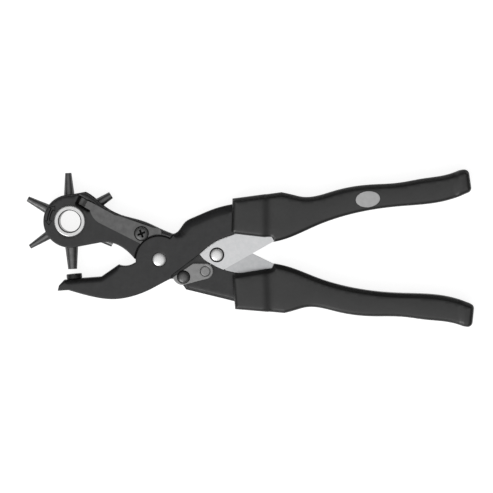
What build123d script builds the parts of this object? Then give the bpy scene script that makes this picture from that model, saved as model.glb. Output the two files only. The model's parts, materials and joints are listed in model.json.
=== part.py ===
"""Lever-action revolving punch pliers, lying flat on their rear faces, in millimetres."""
from build123d import *
import math
import os

os.makedirs("parts", exist_ok=True)

# Places. Outlines are measured from the main pivot, +X towards the handles, +Y towards the wheel.
# The origin is at the middle of the tool's footprint, on the surface it lies on.
MAIN_PIVOT = (-50.3, -6.0)
MIDDLE = 7.6                    # height of the tool's middle plane
HANDLE_PIVOT = (32.3, 2.6)
NOSE_PIVOT = (13.6, -9.9)
TAIL_PIVOT = (25.8, -6.6)
WHEEL_CENTRE = (-50.0, 21.5)
SCREW_CENTRE = (-9.9, 14.6)
AXIS_POINT = (69.8, 3.8)        # the two handles mirror each other over a line through here
AXIS_TILT = 1.4                 # degrees, handle ends upwards

# Layers, as distances of faces from the middle plane
CORE = 2.2                      # wheel arm's tongue, lower lever
INNER_WALL = (2.3, 3.7)         # lower channel
LINK_WALL = (2.3, 3.8)
OUTER_WALL = (3.9, 5.3)         # upper channel
BODY = 5.3                      # jaw lever
FORK = (4.2, 6.3)               # cheeks of the wheel arm
GRIP = 6.6                      # plastic sleeves
BOX = MIDDLE                    # the sleeves' thick front ends
BOX_END = 60.5                  # where the thick front ends stop

GRIP_ROUNDING = 1.8
GRIP_CORNERS = (1.0, 3.0)       # outline corners at the front, at the far end
BOX_ROUNDING = 1.2
BOX_CREASE = 0.9                # bevel where the box steps down to the grip

# Fits
RUNNING = 0.05                  # radial clearance of a turning pin
SNUG = 0.02                     # radial clearance of a fixed pin
SIDE_PLAY = 0.1                 # between flat faces of neighbouring layers
OPEN_PIVOT = 0.35               # radial clearance of the link pin in the arm's tail
GAP = 0.3                       # between curved faces that move past each other
CAVITY = 0.05                   # sleeve over its lever and channel

# Main joint
CHEEK_RADIUS = 13.3
TONGUE_RADIUS = 12.6
TOE_ROUNDING = 1.2              # outline corners at the jaw's end
FORGING_BEVEL = 0.7             # along the outer edges of both forgings
MAIN_PIN = 3.8
HANDLE_PIN = 3.5
RING_RADIUS = 4.2               # shallow ring around both large rivets
RING_DEPTH = 0.5
RIVET_PROUD = 0.3
RIVET_ROUNDING = 0.6
NOSE_PIN = 2.2
NOSE_HEAD = (3.35, 1.3, 1.1)    # radius, height, rounding
TAIL_PIN = 2.0
TAIL_HEAD = 2.8
TAIL_EYE = 3.9                  # outside of the arm's eye around the link pin
CHANNEL_PIN = 2.5
LOWER_EYE = 5.2                 # the lower channel's eye on the handle pivot

# Wheel
CHEEK_DISC = 14.9
DISC_RADIUS = 14.2
DISC_HALF = 4.0
BARREL = (6.0, 7.5)             # bore and outside of the hollow axle
FLANGE_RADIUS = 8.7
FLANGE_ROUNDING = (0.7, 0.8)    # outside, bore
TIP_RADIUS = 27.0
FIRST_TUBE = 32.5               # angle of the tube nearest the handles
TIP_ROOM = 0.8                  # between the tubes' swept tips and the arm
NOTCH_ANGLE = 56.0
NOTCH_START = 10.4              # distance of a notch's inner end from the wheel's centre
NOTCH_RADIUS = 1.3
NOTCH_RISE = 0.4                # of a notch's axis over the wheel's face
PUNCH_SIZES = (3.5, 3.0, 2.5, 2.0, 4.5, 4.0)
TUBE_BASE = (1.65, 0.44)        # radius at the wheel's rim: constant, and share of the hole size
SOCKET_RADIUS = 3.0
SOCKET_FLOOR = 9.8
SOCKET_END = 0.1                # between a tube's root and the floor of its socket
CUTTING_WALL = 0.25             # a tube's wall at its sharp end
LAND_LENGTH = 1.4               # the steeper cone at the sharp end
LAND_SHARE = 0.12               # how much of the tube's taper the steeper cone takes

# Anvil
ANVIL_TOP = (-48.0, -8.15)
ANVIL_TILT = 5.5
ANVIL_RADIUS = 4.35
ANVIL_HEIGHT = 2.7
ANVIL_EDGE = 0.3
ANVIL_SPIGOT = (2.2, 3.2)       # radius, length

# Leaf spring and its screw
LEAF = 0.8
SLOT_CENTRE = (-41.7, 31.6)
SLOT_SIZE = (8.9, 4.8)
SLOT_TILT = -28.0
FINGER_WIDTH = 4.0
FINGER_BEND = ((5.5, 0.0), (1.2, 0.0), (-1.0, -2.85), (-2.9, -1.9))  # along the slot, and height
SCREW_SHANK = (1.5, 6.0)        # radius, length
SCREW_HEAD = (3.7, 1.5, 1.0)    # radius, height, rounding
SCREW_HOLE_END = 1.0            # the hole goes this much deeper than the screw
SCREW_CROSS = (4.0, 0.8, 0.9)   # length, width, depth
SCREW_TURN = 22.0

# Torsion spring
WIRE = 0.5
COIL_RADIUS = 4.55
COIL_TURNS = 3
COIL_PITCH = 1.02
LEGS = (6.8, 8.7)               # towards the lower lever, towards the jaw lever

# Both handle channels: their edge along the inside of the grips, their back along the outside
CHANNEL_INSIDE = (
    (64.0, 10.0), (69.0, 12.9), (78.0, 17.0), (88.0, 21.0),
    (98.0, 24.2), (110.0, 27.9), (140.0, 32.6),
)
CHANNEL_BACK = (
    (140.0, 42.3), (124.0, 40.3), (109.0, 37.8), (92.0, 35.1),
    (80.0, 33.2), (68.0, 35.6), (44.0, 32.2),
)
CHANNEL_SHEET = OUTER_WALL[1] - OUTER_WALL[0]
CHANNEL_RIVETS = ((52.0, 24.5), (67.0, 25.8))


def level(height):
    """The drawing plane at a distance from the middle plane, with its origin on the main pivot."""
    return Plane(origin=(MAIN_PIVOT[0], MAIN_PIVOT[1], MIDDLE + height))


def upright(place, angle):
    """A plane whose normal lies flat, at an angle from +X, through a place on the middle plane."""
    direction = (math.cos(math.radians(angle)), math.sin(math.radians(angle)), 0)
    middle = level(0).from_local_coords(Vector(*place, 0))
    return Plane(origin=middle, x_dir=(0, 0, 1), z_dir=direction)


def polar(centre, radius, angle):
    """A point at a radius and an angle from a centre."""
    turn = math.radians(angle)
    return (centre[0] + radius * math.cos(turn), centre[1] + radius * math.sin(turn))


HANDLE_AXIS = Plane(
    origin=level(0).from_local_coords(Vector(*AXIS_POINT, 0)),
    x_dir=(0, 0, 1),
    z_dir=(-math.sin(math.radians(AXIS_TILT)), math.cos(math.radians(AXIS_TILT)), 0),
)


def mirrored(shape):
    """A handle outline or solid carried over to the other handle."""
    return mirror(shape, about=HANDLE_AXIS)


def mirrored_point(place):
    """Where a place on one handle lies on the other handle."""
    across, along = place[0] - AXIS_POINT[0], place[1] - AXIS_POINT[1]
    double = math.radians(2 * AXIS_TILT)
    x = AXIS_POINT[0] + across * math.cos(double) + along * math.sin(double)
    y = AXIS_POINT[1] + across * math.sin(double) - along * math.cos(double)
    return (x, y)


def local(point):
    """A point measured from the main pivot on the middle plane."""
    return level(0).to_local_coords(point)


def rim_edges(part, half):
    """The edges around the front and rear faces of a slab."""
    return part.edges().filter_by(lambda e: abs(abs(e.center().Z - MIDDLE) - half) < 0.01)


def save(part, name):
    """Label a finished piece and write its file."""
    part.label = name
    export_step(part, f"parts/{name}.step")


def jaw_lever_outline():
    """The jaw, the joint disc and the neck that runs into the upper handle."""
    with BuildSketch(level(0)) as outline:
        with BuildLine():
            ThreePointArc((-13.2, -1.6), (-9.4, 9.4), (6.0, 11.9))
            Line((6.0, 11.9), (7.3, 14.3))
            Spline(
                (7.3, 14.3), (10.0, 15.4), (12.2, 18.0), (14.6, 21.1),
                (19.0, 23.5), (30.5, 28.3), (44.0, 31.4),
            )
            Line((44.0, 31.4), (44.0, 15.0))
            Spline((44.0, 15.0), (38.9, 13.0), (32.5, 10.4), (26.7, 6.4), (22.2, 2.6))
            Polyline((22.2, 2.6), (7.1, -9.0), (7.1, -10.3), (-4.2, -16.4))
            Spline((-4.2, -16.4), (-13.8, -20.3), (-25.7, -22.3), (-36.5, -21.1), (-51.0, -17.2))
            Polyline((-51.0, -17.2), (-57.0, -17.6), (-56.3, -14.6), (-53.4, -11.5))
            Polyline((-53.4, -11.5), (-42.5, -10.4), (-32.7, -9.7), (-22.9, -2.9))
            ThreePointArc((-22.9, -2.9), (-18.6, -3.6), (-14.6, -2.3))
            Line((-14.6, -2.3), (-13.2, -1.6))
        make_face()
        toe = outline.vertices().filter_by(lambda v: local(v.center()).X < -53)
        fillet(toe, radius=TOE_ROUNDING)
    return outline.sketch


def jaw_lever_tail():
    """The thinner tail of the jaw lever, inside the upper channel."""
    with BuildSketch(level(0)) as outline:
        with BuildLine():
            Polyline(
                (40.0, 16.4), (58.0, 17.5), (76.0, 20.5),
                (76.0, 31.0), (67.0, 33.0), (40.0, 29.5), close=True,
            )
        make_face()
    return outline.sketch


def tongue_slot():
    """The room in the jaw lever for the arm's tongue and tail, over their whole swing."""
    with BuildSketch(level(0)) as outline:
        Circle(TONGUE_RADIUS + GAP)
        with BuildLine():
            Polyline((-16.0, -2.0), (-16.0, 16.0), (7.0, 16.0), (7.0, 11.0), (0.0, 0.0), close=True)
        make_face()
        with BuildLine():
            Polyline(
                (9.0, 10.0), (24.2, 3.4), (30.0, -2.0), (30.0, -14.0),
                (6.0, -14.0), (0.0, 0.0), close=True,
            )
        make_face()
    return outline.sketch


def make_anvil_jaw_lever():
    """The lower jaw, the outer cheeks of the main joint and the neck of the upper handle, in one forging."""
    with BuildPart() as anvil_jaw_lever:
        extrude(to_extrude=jaw_lever_outline(), amount=BODY, both=True)
        chamfer(rim_edges(anvil_jaw_lever, BODY), length=FORGING_BEVEL)
        extrude(to_extrude=jaw_lever_tail(), amount=INNER_WALL[1] + SIDE_PLAY, both=True)
        extrude(to_extrude=tongue_slot(), amount=CORE + SIDE_PLAY, both=True, mode=Mode.SUBTRACT)
        with BuildSketch(level(0)):
            Circle(MAIN_PIN + SNUG)
            with Locations(*CHANNEL_RIVETS):
                Circle(CHANNEL_PIN + SNUG)
        extrude(amount=BODY, both=True, mode=Mode.SUBTRACT)
        for face in (BODY - RING_DEPTH, -BODY):
            with BuildSketch(level(face)):
                Circle(RING_RADIUS)
            extrude(amount=RING_DEPTH, mode=Mode.SUBTRACT)
        with BuildSketch(upright(ANVIL_TOP, 90 + ANVIL_TILT)):
            Circle(ANVIL_SPIGOT[0] + SNUG)
        extrude(amount=-(ANVIL_HEIGHT + ANVIL_SPIGOT[1] + GAP), mode=Mode.SUBTRACT)
    save(anvil_jaw_lever.part, "anvil_jaw_lever")


def make_anvil():
    """The soft round anvil, pressed into the jaw lever with its spigot."""
    with BuildPart() as anvil:
        with BuildSketch(upright(ANVIL_TOP, 90 + ANVIL_TILT)):
            Circle(ANVIL_RADIUS)
        extrude(amount=-ANVIL_HEIGHT)
        chamfer(anvil.edges(), length=ANVIL_EDGE)
        with BuildSketch(upright(ANVIL_TOP, 90 + ANVIL_TILT)):
            Circle(ANVIL_SPIGOT[0])
        extrude(amount=-(ANVIL_HEIGHT + ANVIL_SPIGOT[1]))
    save(anvil.part, "anvil")


def channel_hollow():
    """Everything on the inner side of a channel's back wall."""
    with BuildSketch(level(0)) as hollow:
        with BuildLine():
            back = [(x, y - CHANNEL_SHEET) for x, y in CHANNEL_BACK]
            room = ((20.0, back[-1][1]), (20.0, -20.0), (141.0, -20.0))
            Polyline((141.0, back[0][1]), *back, *room, close=True)
        make_face()
    return hollow.sketch


def upper_channel_outline():
    """Side wall of the upper channel: the bare plate by the rivet, then the hidden part in the grip."""
    with BuildSketch(level(0)) as outline:
        with BuildLine():
            Spline((22.9, 2.9), (24.2, 1.0), (28.6, -2.1), (32.5, -4.2), (36.0, -5.7))
            Polyline((36.0, -5.7), *CHANNEL_INSIDE, *CHANNEL_BACK, (44.0, 14.9))
            Spline((44.0, 14.9), (39.1, 12.8), (32.7, 10.2), (26.9, 6.2), (22.9, 2.9))
        make_face()
    return outline.sketch


def lower_channel_outline():
    """Side wall of the lower channel, drawn over the upper one, which it mirrors behind its round eye."""
    with BuildSketch(level(0)) as outline:
        with BuildLine():
            front = ((36.8, 12.1), (33.0, 7.0), (34.0, -1.0), (42.3, -1.9))
            end = ((48.0, 32.8), (48.0, 14.2), (42.0, 13.6))
            Polyline(*front, *CHANNEL_INSIDE, *CHANNEL_BACK[:-1], *end, close=True)
        make_face()
        with Locations(mirrored_point(HANDLE_PIVOT)):
            Circle(LOWER_EYE)
    return outline.sketch


def make_upper_handle_channel():
    """The folded sheet inside the upper grip, outside the jaw lever and the lower channel."""
    with BuildPart() as upper_handle_channel:
        extrude(to_extrude=upper_channel_outline(), amount=OUTER_WALL[1], both=True)
        extrude(to_extrude=channel_hollow(), amount=OUTER_WALL[0], both=True, mode=Mode.SUBTRACT)
        with BuildSketch(level(0)):
            with Locations(HANDLE_PIVOT):
                Circle(HANDLE_PIN + SNUG)
            with Locations(*CHANNEL_RIVETS):
                Circle(CHANNEL_PIN + SNUG)
        extrude(amount=BOX, both=True, mode=Mode.SUBTRACT)
        for face in (BODY - RING_DEPTH, -BODY):
            with BuildSketch(level(face)):
                with Locations(HANDLE_PIVOT):
                    Circle(RING_RADIUS)
            extrude(amount=RING_DEPTH, mode=Mode.SUBTRACT)
    save(upper_handle_channel.part, "upper_handle_channel")


def make_channel_rivets(name, carry):
    """Two flush rivets through a channel and the lever's tail inside it."""
    half = OUTER_WALL[1] if carry is None else INNER_WALL[1]
    with BuildPart() as rivets:
        with BuildSketch(level(0)):
            with Locations(*(p if carry is None else carry(p) for p in CHANNEL_RIVETS)):
                Circle(CHANNEL_PIN)
        extrude(amount=half, both=True)
    save(rivets.part, name)


def make_pivot_rivet(name, place, radius):
    """A large flush rivet with softly rounded ends, standing just proud of both faces."""
    with BuildPart() as rivet:
        with BuildSketch(level(0)):
            with Locations(place):
                Circle(radius)
        extrude(amount=BODY + RIVET_PROUD, both=True)
        fillet(rivet.edges().filter_by(GeomType.CIRCLE), radius=RIVET_ROUNDING)
    save(rivet.part, name)


def grip_outline():
    """The upper sleeve seen from the front."""
    with BuildSketch(level(0)) as outline:
        with BuildLine():
            Polyline((41.0, 34.1), (40.4, 15.6), (41.9, 14.4), (62.6, 12.0), (63.9, 9.6))
            Spline(
                (63.9, 9.6), (72.4, 11.9), (88.5, 18.9), (110.7, 26.0),
                (133.2, 29.5), (157.6, 32.1), (170.5, 36.2),
            )
            Polyline((170.5, 36.2), (175.2, 38.2), (173.3, 51.2), (168.0, 50.0))
            Spline(
                (168.0, 50.0), (160.2, 47.4), (148.0, 45.5), (134.0, 43.1), (117.0, 42.0),
                (98.2, 38.6), (80.6, 35.2), (75.0, 36.4), (68.5, 37.8),
            )
            Line((68.5, 37.8), (41.0, 34.1))
        make_face()
        grip_end = outline.vertices().filter_by(lambda v: local(v.center()).X > 173)
        fillet(grip_end, radius=GRIP_CORNERS[1])
        front_corners = outline.vertices().filter_by(lambda v: local(v.center()).X < 41.5)
        fillet(front_corners, radius=GRIP_CORNERS[0])
    return outline.sketch


def box_outline():
    """The thicker front end of the upper sleeve."""
    with BuildSketch(level(0)) as outline:
        with BuildLine():
            Polyline((41.0, 34.1), (40.4, 15.6), (41.9, 14.4), (BOX_END, 12.25), (BOX_END, 36.72), close=True)
        make_face()
    return outline.sketch


def sleeve_blank():
    """The upper sleeve before its cavity is cut."""
    with BuildPart() as grip:
        extrude(to_extrude=grip_outline(), amount=GRIP, both=True)
        fillet(rim_edges(grip, GRIP), radius=GRIP_ROUNDING)
    with BuildPart() as box:
        extrude(to_extrude=box_outline(), amount=BOX, both=True)
        rims = rim_edges(box, BOX)
        step = rims.filter_by(lambda e: local(e.center()).X > BOX_END - 0.1)
        fillet(rims - step, radius=BOX_ROUNDING)
        step = rim_edges(box, BOX).filter_by(lambda e: local(e.center()).X > BOX_END - 0.1)
        chamfer(step, length=BOX_CREASE)
    with BuildPart() as blank:
        add(grip.part)
        add(box.part)
    return blank.part


def make_upper_handle_sleeve(blank):
    """The upper grip, hollow for its channel and for the jaw lever's neck."""
    with BuildPart() as upper_handle_sleeve:
        add(blank)
        room = OUTER_WALL[1] + CAVITY
        extrude(to_extrude=upper_channel_outline(), amount=room, both=True, mode=Mode.SUBTRACT)
        extrude(to_extrude=jaw_lever_outline(), amount=room, both=True, mode=Mode.SUBTRACT)
    save(upper_handle_sleeve.part, "upper_handle_sleeve")


def make_lower_handle_sleeve(blank):
    """The lower grip, hollow for its channel and for the lower lever."""
    with BuildPart() as still_upright:
        add(blank)
        room = INNER_WALL[1] + CAVITY
        extrude(to_extrude=lower_channel_outline(), amount=room, both=True, mode=Mode.SUBTRACT)
    with BuildPart() as lower_handle_sleeve:
        add(mirrored(still_upright.part))
        extrude(to_extrude=lower_lever_outline(), amount=CORE + CAVITY, both=True, mode=Mode.SUBTRACT)
    save(lower_handle_sleeve.part, "lower_handle_sleeve")


def arm_outline():
    """The wheel arm from its round cheek to the edge that wraps around the jaw lever's disc."""
    with BuildSketch(level(0)) as outline:
        with Locations(WHEEL_CENTRE):
            Circle(CHEEK_DISC)
        with BuildLine():
            Polyline(WHEEL_CENTRE, (-50.0, 36.35), (-41.6, 37.9))
            Spline(
                (-41.6, 37.9), (-35.7, 34.0), (-30.7, 29.7), (-23.2, 25.5),
                (-8.2, 21.1), (0.2, 17.3), (7.15, 14.4),
            )
            Polyline((7.15, 14.4), (5.9, 12.1), (0.0, 0.0), (-13.6, 0.2))
            Spline((-13.6, 0.2), (-16.2, 3.1), (-21.4, 7.2), (-25.7, 9.1), (-32.9, 9.5))
            Polyline((-32.9, 9.5), (-47.0, 6.9), WHEEL_CENTRE)
        make_face()
    return outline.sketch


def arm_tongue():
    """The tongue between the jaw lever's cheeks and the tail that the link pushes."""
    with BuildSketch(level(0)) as outline:
        Circle(TONGUE_RADIUS)
        with Locations(TAIL_PIVOT):
            Circle(TAIL_EYE)
        with BuildLine():
            Polyline(
                (0.0, 0.0), (8.1, 9.6), (24.0, 1.0), (28.2, -2.4), TAIL_PIVOT, (22.0, -7.2),
                (15.6, -6.05), (13.6, -5.6), (11.6, -6.1), (10.2, -7.2), (8.6, -8.6), (6.6, -8.4), close=True,
            )
        make_face()
    return outline.sketch


def make_wheel_arm():
    """The forging with two cheeks around the wheel, a tongue in the main joint and a tail for the link."""
    with BuildPart() as wheel_arm:
        extrude(to_extrude=arm_outline(), amount=FORK[1], both=True)
        fillet(rim_edges(wheel_arm, FORK[1]), radius=FORGING_BEVEL)
        with BuildSketch(level(0)):
            Circle(CHEEK_RADIUS + GAP)
        extrude(amount=FORK[1], both=True, mode=Mode.SUBTRACT)
        extrude(to_extrude=arm_outline(), amount=CORE, both=True)
        extrude(to_extrude=arm_tongue(), amount=CORE, both=True)
        with BuildSketch(level(0)):
            with Locations(WHEEL_CENTRE):
                Circle(TIP_RADIUS + TIP_ROOM)
        extrude(amount=FORK[0], both=True, mode=Mode.SUBTRACT)
        with BuildSketch(level(0)):
            Circle(MAIN_PIN + RUNNING)
            with Locations(TAIL_PIVOT):
                Circle(TAIL_PIN + OPEN_PIVOT)
            with Locations(WHEEL_CENTRE):
                Circle(BARREL[1] + SNUG)
        extrude(amount=FORK[1], both=True, mode=Mode.SUBTRACT)
        with BuildSketch(level(0)):
            with Locations(Location((*SLOT_CENTRE, 0), SLOT_TILT)):
                Rectangle(*SLOT_SIZE)
        extrude(amount=FORK[1], mode=Mode.SUBTRACT)
        with BuildSketch(level(FORK[1])):
            with Locations(SCREW_CENTRE):
                Circle(SCREW_SHANK[0] + SNUG)
        extrude(amount=-(SCREW_SHANK[1] + SCREW_HOLE_END), mode=Mode.SUBTRACT)
    save(wheel_arm.part, "wheel_arm")


def make_detent_spring():
    """A flat leaf screwed to the front cheek, with a finger bent into the wheel's notch."""
    tilt = math.radians(SLOT_TILT)
    finger_plane = Plane(
        origin=level(0).from_local_coords(Vector(*SLOT_CENTRE, 0)),
        x_dir=(math.cos(tilt), math.sin(tilt), 0),
        z_dir=(math.sin(tilt), -math.cos(tilt), 0),
    )
    rest = FORK[1] + LEAF / 2
    with BuildPart() as detent_spring:
        with BuildSketch(level(FORK[1])):
            with BuildLine():
                Polyline((-38.2, 32.2), (-25.0, 25.0), (-21.0, 23.9), (-3.0, 17.7))
                Spline((-3.0, 17.7), (1.0, 16.2), (1.2, 14.2))
                ThreePointArc((1.2, 14.2), (-5.0, 13.3), (-10.4, 8.9))
                Line((-10.4, 8.9), (-34.0, 20.8))
                Spline((-34.0, 20.8), (-36.6, 23.2), (-38.7, 27.6))
                Line((-38.7, 27.6), (-38.2, 32.2))
            make_face()
            with Locations(SCREW_CENTRE):
                Circle(SCREW_SHANK[0] + SNUG, mode=Mode.SUBTRACT)
        extrude(amount=LEAF)
        with BuildSketch(finger_plane):
            with BuildLine():
                Polyline(*((along, rest + height) for along, height in FINGER_BEND))
            trace(line_width=LEAF)
        extrude(amount=FINGER_WIDTH / 2, both=True)
    save(detent_spring.part, "detent_spring")


def make_spring_screw():
    """The cross-head screw that holds the leaf spring."""
    with BuildPart() as spring_screw:
        with BuildSketch(level(FORK[1] + LEAF)):
            with Locations(SCREW_CENTRE):
                Circle(SCREW_HEAD[0])
        extrude(amount=SCREW_HEAD[1])
        fillet(spring_screw.faces().sort_by(Axis.Z)[-1].edges(), radius=SCREW_HEAD[2])
        with BuildSketch(level(FORK[1] + LEAF)):
            with Locations(SCREW_CENTRE):
                Circle(SCREW_SHANK[0])
        extrude(amount=-(SCREW_SHANK[1] + LEAF))
        with BuildSketch(level(FORK[1] + LEAF + SCREW_HEAD[1])):
            for turn in (SCREW_TURN, SCREW_TURN + 90):
                with Locations(Location((*SCREW_CENTRE, 0), turn)):
                    Rectangle(SCREW_CROSS[0], SCREW_CROSS[1])
        extrude(amount=-SCREW_CROSS[2], mode=Mode.SUBTRACT)
    save(spring_screw.part, "spring_screw")


def make_hub_axle():
    """A hollow rivet that carries the wheel between the cheeks, rolled over at both ends."""
    with BuildPart() as hub_axle:
        with BuildSketch(level(0)):
            with Locations(WHEEL_CENTRE):
                Circle(BARREL[1])
        extrude(amount=FORK[1], both=True)
        for face in (FORK[1], -MIDDLE):
            with BuildSketch(level(face)):
                with Locations(WHEEL_CENTRE):
                    Circle(FLANGE_RADIUS)
            extrude(amount=MIDDLE - FORK[1])
        fillet(rim_edges(hub_axle, MIDDLE), radius=FLANGE_ROUNDING[0])
        with BuildSketch(level(0)):
            with Locations(WHEEL_CENTRE):
                Circle(BARREL[0])
        extrude(amount=MIDDLE, both=True, mode=Mode.SUBTRACT)
        bore_rims = rim_edges(hub_axle, MIDDLE).sort_by(SortBy.RADIUS)[:2]
        fillet(bore_rims, radius=FLANGE_ROUNDING[1])
    save(hub_axle.part, "hub_axle")


def make_punch_wheel():
    """The wheel, with a socket for every tube and a notch in its front face for the leaf spring."""
    with BuildPart() as punch_wheel:
        with BuildSketch(level(0)):
            with Locations(WHEEL_CENTRE):
                Circle(DISC_RADIUS)
                Circle(BARREL[1] + RUNNING, mode=Mode.SUBTRACT)
        extrude(amount=DISC_HALF, both=True)
        for number in range(len(PUNCH_SIZES)):
            turn = FIRST_TUBE + number * 360 / len(PUNCH_SIZES)
            with BuildSketch(upright(polar(WHEEL_CENTRE, SOCKET_FLOOR, turn), turn)):
                Circle(SOCKET_RADIUS)
            extrude(amount=DISC_RADIUS, mode=Mode.SUBTRACT)
            notch = NOTCH_ANGLE + number * 360 / len(PUNCH_SIZES)
            with BuildSketch(upright(polar(WHEEL_CENTRE, NOTCH_START, notch), notch)):
                with Locations((DISC_HALF + NOTCH_RISE, 0)):
                    Circle(NOTCH_RADIUS)
            extrude(amount=DISC_RADIUS, mode=Mode.SUBTRACT)
    save(punch_wheel.part, "punch_wheel")


def make_punch_tube(size, turn):
    """A hollow conical punch with its root in the wheel's rim, named after its hole."""
    plane = Plane(
        origin=level(0).from_local_coords(Vector(*WHEEL_CENTRE, 0)),
        x_dir=(math.cos(math.radians(turn)), math.sin(math.radians(turn)), 0),
        z_dir=(math.sin(math.radians(turn)), -math.cos(math.radians(turn)), 0),
    )
    root = SOCKET_FLOOR + SOCKET_END
    bore = size / 2
    base = TUBE_BASE[0] + TUBE_BASE[1] * size
    tip = bore + CUTTING_WALL
    land = tip + (base - tip) * LAND_SHARE
    with BuildPart() as punch_tube:
        with BuildSketch(plane):
            with BuildLine():
                Polyline(
                    (root, bore), (root, SOCKET_RADIUS - SNUG),
                    (DISC_RADIUS, SOCKET_RADIUS - SNUG), (DISC_RADIUS, base),
                    (TIP_RADIUS - LAND_LENGTH, land), (TIP_RADIUS, tip), (TIP_RADIUS, bore), close=True,
                )
            make_face()
        revolve(axis=Axis(plane.origin, plane.x_dir))
    save(punch_tube.part, f"punch_tube_{size * 10:.0f}")


def lower_lever_outline():
    """The short lever whose nose pushes the link, and its tail in the lower channel."""
    with BuildSketch(level(0)) as outline:
        with BuildLine():
            ThreePointArc((15.55, -6.5), (9.7, -9.9), (12.4, -13.6))
            Polyline((12.4, -13.6), (13.2, -14.5), (15.0, -17.0), (44.0, -24.1), (60.0, -25.6))
            Polyline((60.0, -25.6), (76.0, -24.2), (76.0, -13.2), (58.8, -10.2))
            Polyline((58.8, -10.2), (43.0, -7.5), (39.0, -6.75), (34.3, -3.25))
            ThreePointArc((34.3, -3.25), (32.0, -3.6), (29.1, -2.6))
            Line((29.1, -2.6), (29.8, -5.4))
            ThreePointArc((29.8, -5.4), (25.8, -10.8), (21.7, -7.6))
            Line((21.7, -7.6), (15.55, -6.5))
        make_face()
    return outline.sketch


def make_lower_lever():
    """The flat lever between the link plates and inside the lower channel."""
    with BuildPart() as lower_lever:
        extrude(to_extrude=lower_lever_outline(), amount=CORE, both=True)
        with BuildSketch(level(0)):
            with Locations(NOSE_PIVOT):
                Circle(NOSE_PIN + SNUG)
            with Locations(*(mirrored_point(p) for p in CHANNEL_RIVETS)):
                Circle(CHANNEL_PIN + SNUG)
        extrude(amount=CORE, both=True, mode=Mode.SUBTRACT)
    save(lower_lever.part, "lower_lever")


def make_lower_handle_channel():
    """The folded sheet inside the lower grip, which turns on the handle pivot between the upper walls."""
    with BuildPart() as still_upright:
        extrude(to_extrude=lower_channel_outline(), amount=INNER_WALL[1], both=True)
        extrude(to_extrude=channel_hollow(), amount=INNER_WALL[0], both=True, mode=Mode.SUBTRACT)
    with BuildPart() as lower_handle_channel:
        add(mirrored(still_upright.part))
        with BuildSketch(level(0)):
            with Locations(HANDLE_PIVOT):
                Circle(HANDLE_PIN + RUNNING)
            with Locations(*(mirrored_point(p) for p in CHANNEL_RIVETS)):
                Circle(CHANNEL_PIN + SNUG)
        extrude(amount=INNER_WALL[1], both=True, mode=Mode.SUBTRACT)
    save(lower_handle_channel.part, "lower_handle_channel")


def link_outline():
    """The short link between the lower lever's nose and the arm's tail."""
    with BuildSketch(level(0)) as outline:
        with BuildLine():
            Polyline((7.6, -9.9), (19.0, -2.1), (25.4, -2.2))
            ThreePointArc((25.4, -2.2), (30.2, -6.7), (27.0, -10.8))
            Line((27.0, -10.8), (13.6, -14.3))
            ThreePointArc((13.6, -14.3), (10.2, -13.6), (7.6, -9.9))
        make_face()
        with Locations(NOSE_PIVOT):
            Circle(NOSE_PIN + RUNNING, mode=Mode.SUBTRACT)
        with Locations(TAIL_PIVOT):
            Circle(TAIL_HEAD + SNUG, mode=Mode.SUBTRACT)
    return outline.sketch


def make_link_plate(name, face):
    """One of the two plates of the link, from the face nearest the viewer's side downwards."""
    with BuildPart() as link_plate:
        with BuildSketch(level(face)):
            add(level(0).to_local_coords(link_outline()))
        extrude(amount=LINK_WALL[1] - LINK_WALL[0])
    save(link_plate.part, name)


def make_link_pin():
    """A stepped pin: its wide ends are flush in the plates, its middle goes through the arm's tail."""
    with BuildPart() as link_pin:
        with BuildSketch(level(0)):
            with Locations(TAIL_PIVOT):
                Circle(TAIL_PIN)
        extrude(amount=LINK_WALL[0], both=True)
        for face in (LINK_WALL[0], -LINK_WALL[1]):
            with BuildSketch(level(face)):
                with Locations(TAIL_PIVOT):
                    Circle(TAIL_HEAD)
            extrude(amount=LINK_WALL[1] - LINK_WALL[0])
    save(link_pin.part, "link_pin")


def make_nose_rivet():
    """The domed rivet that joins the link to the lower lever's nose."""
    with BuildPart() as nose_rivet:
        with BuildSketch(level(0)):
            with Locations(NOSE_PIVOT):
                Circle(NOSE_PIN)
        extrude(amount=LINK_WALL[1], both=True)
        for face, way in ((LINK_WALL[1], 1), (-LINK_WALL[1], -1)):
            with BuildSketch(level(face)):
                with Locations(NOSE_PIVOT):
                    Circle(NOSE_HEAD[0])
            extrude(amount=way * NOSE_HEAD[1])
        ends = nose_rivet.faces().sort_by(Axis.Z)
        fillet(ends[-1].edges() + ends[0].edges(), radius=NOSE_HEAD[2])
    save(nose_rivet.part, "nose_rivet")


def make_opening_spring():
    """A coil around the handle rivet, with one leg against each lever."""
    centre = level(0).from_local_coords(Vector(*HANDLE_PIVOT, -COIL_TURNS * COIL_PITCH / 2))
    with BuildPart() as opening_spring:
        with BuildLine():
            coil = Helix(COIL_PITCH, COIL_TURNS * COIL_PITCH, COIL_RADIUS, center=centre)
        with BuildSketch(Plane(origin=coil @ 0, z_dir=coil % 0)):
            Circle(WIRE)
        sweep()
        for end, way, leg in ((0, -1, LEGS[0]), (1, 1, LEGS[1])):
            with BuildSketch(Plane(origin=coil @ end, z_dir=(coil % end) * way)):
                Circle(WIRE)
            extrude(amount=leg)
    save(opening_spring.part, "opening_spring")


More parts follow.
